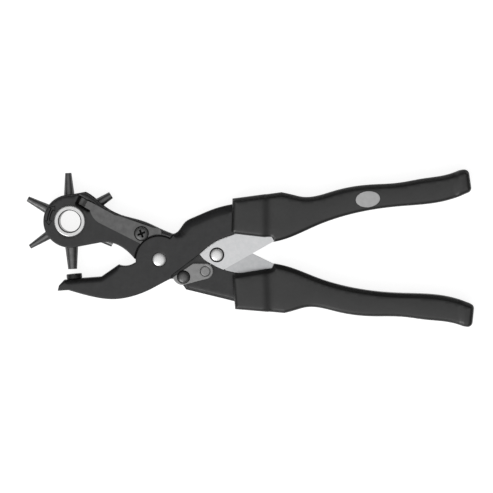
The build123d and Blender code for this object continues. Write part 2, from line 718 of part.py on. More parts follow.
make_anvil_jaw_lever()
make_anvil()
make_upper_handle_channel()
make_channel_rivets("upper_channel_rivets", None)
make_pivot_rivet("main_pivot_rivet", (0.0, 0.0), MAIN_PIN)
make_pivot_rivet("handle_pivot_rivet", HANDLE_PIVOT, HANDLE_PIN)
sleeve = sleeve_blank()
make_upper_handle_sleeve(sleeve)
make_wheel_arm()
make_detent_spring()
make_spring_screw()
make_hub_axle()
make_punch_wheel()
for index, punch_size in enumerate(PUNCH_SIZES):
    make_punch_tube(punch_size, FIRST_TUBE + index * 360 / len(PUNCH_SIZES))
make_lower_lever()
make_lower_handle_channel()
make_lower_handle_sleeve(sleeve)
make_channel_rivets("lower_channel_rivets", mirrored_point)
make_nose_rivet()
make_link_plate("link_plate_front", LINK_WALL[0])
make_link_plate("link_plate_rear", -LINK_WALL[1])
make_link_pin()
make_opening_spring()
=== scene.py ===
"""Looks of the revolving punch pliers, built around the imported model."""
import bpy
import bmesh
import json
import math
import numpy as np
from mathutils import Matrix, Vector, geometry


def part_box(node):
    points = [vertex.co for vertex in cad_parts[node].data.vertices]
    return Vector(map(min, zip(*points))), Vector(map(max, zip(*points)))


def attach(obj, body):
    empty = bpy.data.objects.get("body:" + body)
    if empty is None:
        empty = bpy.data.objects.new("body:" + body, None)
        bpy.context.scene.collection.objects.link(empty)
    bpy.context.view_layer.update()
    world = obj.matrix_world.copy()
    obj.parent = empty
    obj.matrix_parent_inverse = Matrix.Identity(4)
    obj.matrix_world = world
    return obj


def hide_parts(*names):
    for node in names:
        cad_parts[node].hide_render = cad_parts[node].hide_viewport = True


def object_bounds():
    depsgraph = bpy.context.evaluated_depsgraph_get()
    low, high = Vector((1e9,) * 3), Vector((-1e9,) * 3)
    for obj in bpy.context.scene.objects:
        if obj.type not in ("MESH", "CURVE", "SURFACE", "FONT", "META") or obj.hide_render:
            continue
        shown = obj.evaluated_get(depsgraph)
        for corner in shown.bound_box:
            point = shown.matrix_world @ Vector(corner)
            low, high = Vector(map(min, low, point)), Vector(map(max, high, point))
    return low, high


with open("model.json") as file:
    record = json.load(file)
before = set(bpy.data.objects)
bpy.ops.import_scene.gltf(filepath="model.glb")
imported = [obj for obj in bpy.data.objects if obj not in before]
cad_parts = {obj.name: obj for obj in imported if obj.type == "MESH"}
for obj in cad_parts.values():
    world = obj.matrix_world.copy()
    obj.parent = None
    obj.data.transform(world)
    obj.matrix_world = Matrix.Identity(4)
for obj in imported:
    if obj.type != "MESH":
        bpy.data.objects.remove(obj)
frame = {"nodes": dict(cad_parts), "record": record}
CAD_BOX = [list(corner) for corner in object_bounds()]
NODES = frame["nodes"]
BEHAVIOUR = frame["record"]["behaviour"]
BODY_OF = {node: body for body, nodes in BEHAVIOUR["bodies"].items() for node in nodes}
SLOT_OF = {part["node"]: part["material_slot"] for part in frame["record"]["subparts"]}
MM = 0.001
PIVOT = np.array(next(j["pos_m"] for j in BEHAVIOUR["joints"] if j["name"] == "jaw_close")) / MM
MIDDLE = PIVOT[2]               # height of the tool's middle plane, in millimetres

# Half thicknesses in millimetres, as in the CAD model
TONGUE, FORK, LEVER, ARM, GRIP = 2.2, 4.2, 5.3, 6.3, 6.6
SIDE_PLAY = 0.1
CHEEK_LEVEL = 5.2               # where the arm's cheeks are cut to read their outline
ARM_LAP = (0.6, -0.3)           # how far the arm's end laps over the lever's neck
SHIM_SPREAD = 1.0               # how far the shims reach past the arm's tongue
SHIM_HEIGHTS = (0.03, 0.07)     # over the tongue's side

# Where a node's finish isn't its slot's
OWN_FINISH = {
    "hub_axle": "hub_steel",
    "nose_rivet": "dark_rivet",
    # the lower channel takes a darker copy of the zinc: painted shade
    "lower_handle_channel": "shaded_zinc",
}


# ---- outlines read from the CAD meshes ----

def joint_place(name):
    """A joint's position, in metres."""
    return next(joint["pos_m"] for joint in BEHAVIOUR["joints"] if joint["name"] == name)


def section(node, half):
    """The closed outlines of a CAD node at a height over the middle plane, in mm, largest first."""
    cut = bmesh.new()
    cut.from_mesh(NODES[node].data)
    bmesh.ops.remove_doubles(cut, verts=cut.verts, dist=1e-7)
    everything = cut.verts[:] + cut.edges[:] + cut.faces[:]
    bmesh.ops.bisect_plane(
        cut, geom=everything, plane_co=(0, 0, (MIDDLE + half) * MM), plane_no=(0, 0, 1),
        clear_inner=True, clear_outer=True,
    )
    bmesh.ops.remove_doubles(cut, verts=cut.verts, dist=2e-6)
    loops = []
    unused = set(cut.verts)
    while unused:
        vertex = unused.pop()
        loop = [vertex]
        while True:
            neighbours = [edge.other_vert(vertex) for edge in vertex.link_edges]
            onward = [other for other in neighbours if other in unused]
            if not onward:
                break
            vertex = onward[0]
            unused.discard(vertex)
            loop.append(vertex)
        if len(loop) > 2:
            loops.append(np.array([(v.co.x / MM, v.co.y / MM) for v in loop]))
    cut.free()
    loops.sort(key=lambda loop: (-round(abs(area(loop)), 4), round(loop[:, 0].min(), 3)))
    return [from_leftmost(wound(loop, index == 0)) for index, loop in enumerate(loops)]


def area(loop):
    """Signed area, positive for an anticlockwise loop."""
    x, y = loop[:, 0], loop[:, 1]
    return 0.5 * float(np.sum(x * np.roll(y, -1) - np.roll(x, -1) * y))


def wound(loop, outer):
    """The loop with the solid on its left: an outer loop runs anticlockwise, a hole clockwise."""
    return loop if (area(loop) > 0) == outer else loop[::-1]


def from_leftmost(loop):
    """The loop started at its leftmost point, because a set of vertices has no fixed order between runs."""
    first = np.lexsort((np.round(loop[:, 1], 3), np.round(loop[:, 0], 3)))[0]
    return np.roll(loop, -first, axis=0)


def evened(loop, pitch):
    """The same loop with its long runs divided and its crowded points thinned."""
    points = []
    for start, end in zip(loop, np.roll(loop, -1, axis=0)):
        length = float(np.linalg.norm(end - start))
        if length < 0.04:
            continue
        steps = max(1, math.ceil(length / pitch))
        points.extend(start + (end - start) * step / steps for step in range(steps))
    return np.array(points)


def inward(loop):
    """Unit vectors into the solid at every point of a loop."""
    ahead = np.roll(loop, -1, axis=0) - loop
    ahead /= np.linalg.norm(ahead, axis=1)[:, None]
    along = ahead + np.roll(ahead, 1, axis=0)
    normal = np.stack([-along[:, 1], along[:, 0]], axis=1)
    return normal / np.maximum(np.linalg.norm(normal, axis=1), 1e-9)[:, None]


def inside(points, loops):
    """Which points are within the outer loop and in none of its holes."""
    crossings = np.zeros(len(points), dtype=int)
    for loop in loops:
        for (x1, y1), (x2, y2) in zip(loop, np.roll(loop, -1, axis=0)):
            spans = (y1 > points[:, 1]) != (y2 > points[:, 1])
            if spans.any():
                at = x1 + (points[:, 1] - y1) * (x2 - x1) / (y2 - y1 if y2 != y1 else 1e-9)
                crossings += spans & (points[:, 0] < at)
    return crossings % 2 == 1


def to_edge(points, loops):
    """Each point's distance to the nearest edge, and the number of the loop point it is nearest to."""
    starts = np.concatenate(loops)
    ends = np.concatenate([np.roll(loop, -1, axis=0) for loop in loops])
    along = ends - starts
    squared = np.maximum((along ** 2).sum(axis=1), 1e-12)
    distance = np.empty(len(points))
    nearest = np.empty(len(points), dtype=int)
    for first in range(0, len(points), 500):
        block = points[first:first + 500]
        offset = block[:, None, :] - starts[None]
        share = np.clip((offset * along[None]).sum(axis=2) / squared, 0, 1)
        gaps = np.linalg.norm(offset - share[..., None] * along[None], axis=2)
        best = gaps.argmin(axis=1)
        distance[first:first + 500] = gaps[np.arange(len(block)), best]
        nearest[first:first + 500] = best
    return distance, nearest


# ---- slabs with rounded rims ----

ROUND_STEPS = (0.03, 0.1, 0.2, 0.34, 0.5, 0.68, 0.86, 1.0)  # rows of points across a rim
QUARTER_ROUND = 0.0             # a rim's shape, up to 1 for a bevel
OUTLINE_PITCH = 0.7             # spacing of points along an outline


def square(place, normal):
    """No rounding."""
    return (0.0, 0.0, QUARTER_ROUND)


def rounding(width, depth):
    """The same rounding all around: how far it reaches in from the edge, and down."""
    return lambda place, normal: (width, depth, QUARTER_ROUND)


def lattice(loops, pitch):
    """Evenly spread points over the box around the loops."""
    low, high = loops[0].min(axis=0), loops[0].max(axis=0)
    rows = []
    for number, y in enumerate(np.arange(low[1], high[1], pitch * 0.87)):
        xs = np.arange(low[0] + (number % 2) * pitch / 2, high[0], pitch)
        rows.append(np.stack([xs, np.full_like(xs, y)], axis=1))
    return np.concatenate(rows)


def triangulated(loops, widths, pitch):
    """Points and triangles of a flat sheet inside the loops, with rows of points along their edges."""
    starts = np.concatenate(loops)
    normals = np.concatenate([inward(loop) for loop in loops])
    rows = [starts]
    for step in ROUND_STEPS:
        reach = widths * step
        candidates = (starts + normals * reach[:, None])[reach > 0.02]
        wanted = reach[reach > 0.02]
        if len(candidates):
            distance, _ = to_edge(candidates, loops)
            rows.append(candidates[(distance > wanted * 0.9) & inside(candidates, loops)])
    filling = lattice(loops, pitch)
    filling = filling[inside(filling, loops)]
    distance, nearest = to_edge(filling, loops)
    rows.append(filling[distance > widths[nearest] + pitch * 0.4])
    points = np.concatenate(rows)
    edges = []
    first = 0
    for loop in loops:
        edges += [(first + i, first + (i + 1) % len(loop)) for i in range(len(loop))]
        first += len(loop)
    sheet = geometry.delaunay_2d_cdt([Vector(point) for point in points], edges, [], 1, 1e-4)
    places = np.array([tuple(place) for place in sheet[0]])
    triangles = np.array([tuple(triangle) for triangle in sheet[2]])
    centres = places[triangles].mean(axis=1)
    return places, triangles[inside(centres, loops)]


def rim_drop(distance, rim):
    """How far a rim has fallen at a distance from the edge, for rows of width, depth and shape."""
    share = np.clip(1 - distance / np.maximum(rim[:, 0], 1e-6), 0, 1)
    quarter = 1 - np.sqrt(1 - share ** 2)
    return rim[:, 1] * (quarter + rim[:, 2] * (share ** 1.2 - quarter))


def slab(mesh, loops, low, high, below=square, above=square, pitch=1.6, relief=None):
    """Adds to a bmesh the solid between two heights over the middle plane, with rounded rims, in mm."""
    loops = [evened(loop, OUTLINE_PITCH) for loop in loops]
    starts = np.concatenate(loops)
    normals = np.concatenate([-inward(loop) for loop in loops])
    rims = [np.array([shape(p, n) for p, n in zip(starts, normals)]) for shape in (below, above)]
    places, triangles = triangulated(loops, np.maximum(rims[0][:, 0], rims[1][:, 0]), pitch)
    distance, nearest = to_edge(places, loops)
    lifted = np.zeros(len(places)) if relief is None else relief(places, distance)
    floors = low + rim_drop(distance, rims[0][nearest])
    roofs = high - rim_drop(distance, rims[1][nearest])
    if relief is not None:
        floors = floors - lifted if low < 0 else floors
        roofs = roofs + lifted
    top = [mesh.verts.new((x * MM, y * MM, (MIDDLE + z) * MM)) for (x, y), z in zip(places, roofs)]
    bottom = [mesh.verts.new((x * MM, y * MM, (MIDDLE + z) * MM)) for (x, y), z in zip(places, floors)]
    seen = {}
    for a, b, c in triangles:
        mesh.faces.new((top[a], top[b], top[c]))
        mesh.faces.new((bottom[c], bottom[b], bottom[a]))
        for edge in ((a, b), (b, c), (c, a)):
            seen[edge] = True
    for a, b in seen:
        if (b, a) not in seen:
            mesh.faces.new((top[b], top[a], bottom[a], bottom[b]))


def new_piece(name, mesh, material, body, stands_for=(), sharp=35):
    """Makes an object of a finished bmesh and hangs it on a body."""
    data = bpy.data.meshes.new(name)
    bmesh.ops.recalc_face_normals(mesh, faces=mesh.faces)
    mesh.to_mesh(data)
    mesh.free()
    data.polygons.foreach_set("use_smooth", [True] * len(data.polygons))
    data.set_sharp_from_angle(angle=math.radians(sharp))
    data.materials.append(MATERIALS[material])
    piece = bpy.data.objects.new(name, data)
    bpy.context.collection.objects.link(piece)
    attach(piece, body)
    if stands_for:
        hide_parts(*stands_for)
    return piece


def standing_for(name, mesh, node, sharp=35):
    """A piece that is shown instead of one CAD node, in the same finish."""
    material = OWN_FINISH.get(node, SLOT_OF[node])
    return new_piece(name, mesh, material, BODY_OF[node], (node,), sharp)


def between(value, start, end):
    """0 before the start, 1 after the end, smooth between."""
    share = np.clip((value - start) / (end - start), 0, 1)
    return share * share * (3 - 2 * share)


# ---- forgings ----

def jaw_lever_rim(place, normal):
    """The jaw and the neck are rounded widely along their upper edges, and little elsewhere."""
    x, y = place - PIVOT[:2]
    if math.hypot(x, y) < 5.0:
        return (0.5, 0.5, QUARTER_ROUND)
    facing = between(normal[1], 0.1, 0.6)
    on_jaw = between(x, -57.0, -50.0) * (1 - between(x, -25.0, -20.0))
    on_neck = between(x, 5.0, 12.0) * between(y, 8.0, 13.0)
    wide = facing * max(on_jaw, on_neck)
    return (0.7 + (2.6 + 1.8 * on_neck) * wide, 0.6 + 1.8 * wide, (0.25 + 0.4 * on_neck) * wide)


def make_jaw_lever():
    mesh = bmesh.new()
    cheek = section("anvil_jaw_lever", 4.5)
    core = section("anvil_jaw_lever", 0.0)
    split = TONGUE + SIDE_PLAY
    slab(mesh, cheek, split, LEVER, above=jaw_lever_rim)
    slab(mesh, cheek, -LEVER, -split, below=jaw_lever_rim)
    for island in islands(core):
        slab(mesh, island, -split, split)
    standing_for("jaw_lever_forging", mesh, "anvil_jaw_lever")


def islands(loops):
    """Splits loops into solids: each outer loop with the holes in it."""
    def within(loop, other):
        return loop is not other and inside(loop[:1], [other])[0]
    outers = [loop for loop in loops if not any(within(loop, other) for other in loops)]
    solids = []
    for outer in outers:
        holes = [loop for loop in loops if within(loop, outer)]
        solids.append([wound(outer, True)] + [wound(hole, False) for hole in holes])
    return solids


def arm_rim(place, normal):
    """The arm's edges are a little wider along its upper side."""
    facing = between(normal[1], 0.2, 0.8)
    return (0.7 + 0.5 * facing, 0.7 + 0.5 * facing, facing)


def lapped(loop):
    """The arm's outline with its far end let out, to lap over the lever's neck."""
    reach = loop[:, 0].max()
    return loop + between(loop[:, 0], reach - 2.2, reach - 1.0)[:, None] * ARM_LAP


def make_wheel_arm():
    mesh = bmesh.new()
    lap = LEVER + SIDE_PLAY / 2
    for island in islands(section("wheel_arm", CHEEK_LEVEL)):
        slab(mesh, island, FORK, lap)
        slab(mesh, [lapped(island[0])] + island[1:], lap, ARM, above=arm_rim)
    for island in islands(section("wheel_arm", -CHEEK_LEVEL)):
        slab(mesh, island, -lap, -FORK)
        slab(mesh, [lapped(island[0])] + island[1:], -ARM, -lap, below=arm_rim)
    for low, high in ((TONGUE, FORK), (-FORK, -TONGUE)):
        for island in islands(section("wheel_arm", (low + high) / 2)):
            slab(mesh, island, low, high)
    for island in islands(section("wheel_arm", 0.0)):
        slab(mesh, island, -TONGUE, TONGUE)
    standing_for("wheel_arm_forging", mesh, "wheel_arm")


def make_shims():
    """Thin dark shims on both sides of the arm's tongue, which close the slits around it."""
    outlines = [island[0] for island in islands(section("wheel_arm", 0.0))]
    tongue = evened(max(outlines, key=lambda loop: loop[:, 0].max()), OUTLINE_PITCH)
    away = -inward(tongue)
    along = tongue[:, 0] - PIVOT[0]
    lower_side = between(-away[:, 1], 0.0, 0.3)
    tail = between(along, 20.5, 22.5)
    spread = between(along, 6.0, 8.0) * np.maximum(lower_side, tail) * SHIM_SPREAD
    outline = tongue + away * spread[:, None]
    low, high = (TONGUE + height for height in SHIM_HEIGHTS)
    mesh = bmesh.new()
    slab(mesh, [outline], low, high, pitch=3.0)
    slab(mesh, [outline], -high, -low, pitch=3.0)
    new_piece("tongue_shims", mesh, "forged_steel", "wheel_arm")


def make_lower_lever():
    def rim(place, normal):
        below = between(-normal[1], 0.3, 0.8)
        return (0.3 + 1.9 * below, 0.3 + 1.2 * below, below)
    mesh = bmesh.new()
    for island in islands(section("lower_lever", 0.0)):
        slab(mesh, island, -TONGUE, TONGUE, rim, rim)
    standing_for("lower_lever_forging", mesh, "lower_lever")


# ---- link plates ----

def make_link_plates():
    for node, way in (("link_plate_front", 1), ("link_plate_rear", -1)):
        low, high = sorted((way * 2.3, way * 3.8))
        mesh = bmesh.new()
        rims = (square, rounding(0.5, 0.4))[::way]
        slab(mesh, section(node, way * 3.0), low, high, rims[0], rims[1], pitch=1.0)
        standing_for(node + "_sheet", mesh, node)


# ---- grips ----

SLEEVE_LEVEL = 5.45             # where a sleeve is cut to read its outline
BOX_LENGTH = 20.2               # from a sleeve's front end to its crease
CROWN, CROWN_REACH = 0.45, 8.0  # how far a grip's face rises from its edge, and over what distance
SUNK = 0.25                     # how far the plain grip lies under the sleeve's nominal face
CREASE = (BOX_LENGTH - 3.6, BOX_LENGTH + 2.0)
HANDLE_TILT = {"upper_handle_sleeve": 0.0, "lower_handle_sleeve": math.radians(2.8)}


def along_handle(node, places):
    """Distances from the front end of a sleeve, in mm."""
    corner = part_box(node)[0].x / MM
    tilt = HANDLE_TILT[node]
    level = (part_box(node)[0].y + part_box(node)[1].y) / 2 / MM
    return (places[:, 0] - corner) * math.cos(tilt) + (places[:, 1] - level) * math.sin(tilt)


def grip_relief(node):
    """Height of a sleeve's face over its nominal one: thick box, dip behind it, thick far end."""
    length = (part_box(node)[1].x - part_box(node)[0].x) / MM

    def relief(places, distance):
        u = along_handle(node, places)
        past_box = between(u, *CREASE)
        box = 1 - past_box
        dip = past_box * (1 - between(u, CREASE[1], BOX_LENGTH + 14.0))
        end = between(u, length - 9.5, length - 6.5)
        crown = np.clip(1 - distance / CROWN_REACH, 0, 1) ** 2
        crowned = CROWN * (past_box * (1 - crown) - box * crown)
        return 1.25 * box - 0.35 * dip + 0.7 * end - SUNK + crowned
    return relief


def grip_rim(place, normal):
    """A grip's rim is round along its lower side and nearly a bevel along its upper side."""
    return (2.6, 1.9, 0.8 * between(normal[1], 0.0, 0.7))


def prism(name, loops, low, high, pitch=6.0, material=None):
    """A cutter between two heights over the middle plane."""
    mesh = bmesh.new()
    slab(mesh, loops, low, high, pitch=pitch)
    data = bpy.data.meshes.new(name)
    bmesh.ops.recalc_face_normals(mesh, faces=mesh.faces)
    mesh.to_mesh(data)
    mesh.free()
    if material:
        data.materials.append(MATERIALS[material])
    cutter = bpy.data.objects.new(name, data)
    bpy.context.collection.objects.link(cutter)
    return cutter


def carved(piece, cutters):
    """Cuts the cutters out of a piece for good, and removes them."""
    for cutter in cutters:
        cut = piece.modifiers.new("cavity", "BOOLEAN")
        cut.operation = "DIFFERENCE"
        cut.solver = "EXACT"
        cut.material_mode = "TRANSFER"
        cut.object = cutter
    bpy.context.view_layer.update()
    done = bpy.data.meshes.new_from_object(piece.evaluated_get(bpy.context.evaluated_depsgraph_get()))
    piece.modifiers.clear()
    piece.data = done
    done.set_sharp_from_angle(angle=math.radians(40))
    for cutter in cutters:
        bpy.data.objects.remove(cutter)


def make_sleeve(node, *rooms):
    """A grip with room for what it holds: a node, the height to cut it at, and the room's half height."""
    mesh = bmesh.new()
    outline = islands(section(node, SLEEVE_LEVEL))[0][:1]
    slab(mesh, outline, -GRIP, GRIP, grip_rim, grip_rim, relief=grip_relief(node))
    piece = standing_for(node + "_moulding", mesh, node)
    carved(piece, [prism("room", section(held, level)[:1], -half, half) for held, level, half in rooms])


# ---- rivets and cut edges ----

def round_node(node):
    """The lowest corner, highest corner, centre and radius of a node that is round from above, in mm."""
    low, far = (np.array(corner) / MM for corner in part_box(node))
    return low, far, (low[:2] + far[:2]) / 2, (far[0] - low[0]) / 2


def make_domed_rivet(node, high, dome):
    """A riveted head on both sides, domed over its whole width."""
    _, _, centre, radius = round_node(node)
    mesh = bmesh.new()
    rim = rounding(radius, dome)
    slab(mesh, [oval(centre, (radius, radius), 0, 64)], -high, high, rim, rim, pitch=0.7)
    return standing_for(node + "_head", mesh, node, sharp=60)


def make_flush_pin(node):
    """A pin whose softened rim leaves a fine ring in the plate around it."""
    low, far, centre, radius = round_node(node)
    mesh = bmesh.new()
    rim = rounding(0.8, 0.6)
    outline = oval(centre, (radius, radius), 0, 56)
    slab(mesh, [outline], low[2] - MIDDLE, far[2] - MIDDLE, rim, rim, pitch=0.8)
    standing_for(node + "_end", mesh, node, sharp=60)


def make_groove_shade(name, node, inner, outer, height, body):
    """Dark sheets of painted shade at the bottom of the shallow ring around a rivet, on both faces."""
    _, _, centre, _ = round_node(node)
    mesh = bmesh.new()
    loops = ring_loops(centre, inner, outer)
    for way in (1, -1):
        slab(mesh, loops, *sorted((way * (height - 0.1), way * height)), pitch=2.0)
    new_piece(name, mesh, "dark_line_and_painted_shade", body)


BROKEN_EDGES = {
    "upper_handle_channel": 0.45,
    "lower_handle_channel": 0.25,
    "anvil": 0.2,
    "detent_spring": 0.12,
    "punch_wheel": 0.3,
}


def break_edges(node, width):
    """Takes the sharpness off a CAD node's edges."""
    bevel = NODES[node].modifiers.new("broken_edge", "BEVEL")
    bevel.width = width * MM
    bevel.segments = 2
    bevel.limit_method = "ANGLE"
    bevel.angle_limit = math.radians(40)
    bevel.harden_normals = False


# ---- the blank badge, the arrow and the screw ----

def oval(centre, half_axes, tilt, count=72):
    """Points of an ellipse, anticlockwise, in mm."""
    turns = np.linspace(0, 2 * math.pi, count, endpoint=False)
    x, y = half_axes[0] * np.cos(turns), half_axes[1] * np.sin(turns)
    return np.stack([centre[0] + x * math.cos(tilt) - y * math.sin(tilt),
                     centre[1] + x * math.sin(tilt) + y * math.cos(tilt)], axis=1)


def ring_loops(centre, inner, outer):
    """A ring's outer outline and its hole."""
    return [oval(centre, (outer, outer), 0, 64), wound(oval(centre, (inner, inner), 0, 64), False)]


BADGE_PLACE = (116.8, 33.8)     # from the main pivot
BADGE_HALF_AXES = (6.8, 4.45)


def make_badge():
    """A blank pale oval on the upper grip, where the real tool has printing."""
    face = GRIP - SUNK + CROWN
    mesh = bmesh.new()
    outline = oval(PIVOT[:2] + BADGE_PLACE, BADGE_HALF_AXES, math.radians(6))
    slab(mesh, [outline], face - 0.3, face + 0.12, above=rounding(0.25, 0.1), pitch=1.5)
    new_piece("blank_badge", mesh, "pale_print", "jaw_lever")


def arrow_outline():
    """A bent arrow with a head at each end, around the hub, as a closed line in mm."""
    hub = np.array(joint_place("wheel_index"))[:2] / MM
    first, last = math.radians(133), math.radians(192)
    middle, half, barb, head = 11.9, 0.9, 1.3, math.radians(14)

    def ring(radius, angle):
        return hub + radius * np.array((math.cos(angle), math.sin(angle)))
    shaft = np.linspace(first + head, last - head, 9)
    points = [ring(middle, first), ring(middle + half + barb, first + head)]
    points += [ring(middle + half, angle) for angle in shaft]
    points += [ring(middle + half + barb, last - head), ring(middle, last)]
    points += [ring(middle - half - barb, last - head)]
    points += [ring(middle - half, angle) for angle in shaft[::-1]]
    points += [ring(middle - half - barb, first + head)]
    return np.array(points)


def make_arrow():
    """The arrow is a fine dark line let into the front cheek."""
    line = wound(arrow_outline(), True)
    mesh = bmesh.new()
    inner = line + inward(line) * 0.65
    slab(mesh, [line, wound(inner, False)], ARM - 0.3, ARM + 0.05, pitch=0.6)
    new_piece("turning_arrow", mesh, "dark_line_and_painted_shade", "wheel_arm")


def make_slot_shade():
    """A dark sheet under the leaf spring's finger: painted shade for the depth of the slot."""
    mesh = bmesh.new()
    slab(mesh, [wound(section("wheel_arm", CHEEK_LEVEL)[2], True)], FORK - 0.15, FORK - 0.1, pitch=1.0)
    new_piece("slot_floor_shade", mesh, "dark_line_and_painted_shade", "wheel_arm")


CROSS_ARM = (4.6, 1.15)         # length and width of the screw's recess
CROSS_TURNS = (22, 112)         # degrees


def make_screw():
    """A domed head with a cross recess, seated in a shallow ring; the recess's cut faces and the ring are
    near black, painted shade.
    """
    _, far, centre, radius = round_node("spring_screw")
    seat = far[2] - MIDDLE - 1.5
    mesh = bmesh.new()
    outline = oval(centre, (radius, radius), 0, 64)
    slab(mesh, [outline], seat - 0.05, seat + 1.4, above=rounding(2.2, 0.9), pitch=0.6)
    head = new_piece(
        "cross_screw", mesh, "screw_steel", "wheel_arm", ("spring_screw",), sharp=30,
    )
    arms = [bar(centre, CROSS_ARM, math.radians(turn)) for turn in CROSS_TURNS]
    # the cutters' near-black passes to the recess's cut faces as painted shade
    carved(head, [prism("cross_arm", [arm], seat + 0.35, seat + 3.0, 3.0, "dark_line_and_painted_shade") for arm in arms])
    # a dark ring round the head: painted shade where it meets the leaf
    ring = bmesh.new()
    slab(ring, ring_loops(centre, radius - 0.3, radius + 0.45), seat - 0.1, seat + 0.06, pitch=2.0)
    new_piece("screw_seat_shade", ring, "dark_line_and_painted_shade", "wheel_arm")


def bar(centre, size, tilt):
    """Corners of a rectangle, anticlockwise, in mm."""
    corners = np.array([(-1, -1), (1, -1), (1, 1), (-1, 1)]) * size / 2
    turn = np.array([[math.cos(tilt), -math.sin(tilt)], [math.sin(tilt), math.cos(tilt)]])
    return centre + corners @ turn.T


# ---- camera, floor and light ----

VIEW_CENTRE = (-0.0014, 0.0013)     # what the middle of the picture looks at, on the tool's front
VIEW_WIDTH = 0.2761                 # width of the view at the tool's front faces
CAMERA_HEIGHT = 1.6
CAMERA_LEAN = 0.045                 # how far the camera stands towards +Y
KEY_DIRECTION = (-0.12, -0.28, 0.952)   # towards the middle of the overhead softbox
KEY_STRENGTH = 1.12
ROOM_STRENGTH = 0.08            # of the dark room around the softbox
SOFTBOX_EDGE = 0.6              # cosine of the angle where the softbox has faded out
FLOOR_GLOW = 0.85               # the floor is a light table, which keeps shadows pale


def make_camera():
    camera = bpy.data.objects.new("camera", bpy.data.cameras.new("camera"))
    bpy.context.collection.objects.link(camera)
    front = CAD_BOX[1][2] - 0.003
    camera.location = (VIEW_CENTRE[0], VIEW_CENTRE[1] + CAMERA_LEAN, front + CAMERA_HEIGHT)
    camera.rotation_euler = (-math.atan2(CAMERA_LEAN, CAMERA_HEIGHT), 0, 0)
    camera.data.sensor_width = 36.0
    camera.data.lens = camera.data.sensor_width * math.hypot(CAMERA_HEIGHT, CAMERA_LEAN) / VIEW_WIDTH
    camera.data.clip_end = 10.0
    bpy.context.scene.camera = camera


def make_light(name, place, size, power):
    """A square softbox that looks at the tool."""
    light = bpy.data.lights.new(name, "AREA")
    light.size = size
    light.energy = power
    lamp = bpy.data.objects.new(name, light)
    turn = Vector(place).to_track_quat("Z", "Y").to_matrix().to_4x4()
    lamp.matrix_world = Matrix.Translation(place) @ turn
    bpy.context.collection.objects.link(lamp)


def make_floor():
    half = 3.0
    corners = [(-half, -half, 0), (half, -half, 0), (half, half, 0), (-half, half, 0)]
    data = bpy.data.meshes.new("floor")
    data.from_pydata(corners, [], [(0, 1, 2, 3)])
    floor = bpy.data.objects.new("floor", data)
    bpy.context.collection.objects.link(floor)
    floor.location.z = CAD_BOX[0][2] - 0.0002
    paper = bpy.data.materials.new("pale_paper")
    paper.use_nodes = True
    shader = paper.node_tree.nodes["Principled BSDF"]
    shader.inputs["Base Color"].default_value = (0.5, 0.5, 0.5, 1)
    shader.inputs["Roughness"].default_value = 0.95
    shader.inputs["Specular IOR Level"].default_value = 0.1
    shader.inputs["Emission Color"].default_value = (1, 1, 1, 1)
    shader.inputs["Emission Strength"].default_value = FLOOR_GLOW
    data.materials.append(paper)


def make_world():
    """A wide softbox overhead that fades into a dark room."""
    world = bpy.data.worlds.new("studio")
    world.use_nodes = True
    tree = world.node_tree
    place = tree.nodes.new("ShaderNodeTexCoord")
    facing = tree.nodes.new("ShaderNodeVectorMath")
    facing.operation = "DOT_PRODUCT"
    facing.inputs[1].default_value = KEY_DIRECTION
    ramp = tree.nodes.new("ShaderNodeMapRange")
    ramp.inputs["From Min"].default_value = SOFTBOX_EDGE
    ramp.inputs["To Min"].default_value = ROOM_STRENGTH
    ramp.inputs["To Max"].default_value = KEY_STRENGTH
    tree.nodes["Background"].inputs["Color"].default_value = (1, 1, 1, 1)
    tree.links.new(place.outputs["Generated"], facing.inputs[0])
    tree.links.new(facing.outputs["Value"], ramp.inputs["Value"])
    tree.links.new(ramp.outputs["Result"], tree.nodes["Background"].inputs["Strength"])
    bpy.context.scene.world = world


def make_studio():
    make_camera()
    make_floor()
    make_world()
    make_light("low_softbox", (-0.7, -1.1, 1.0), 0.9, 10.0)
    bpy.context.scene.view_settings.view_transform = "Standard"


# ---- materials ----

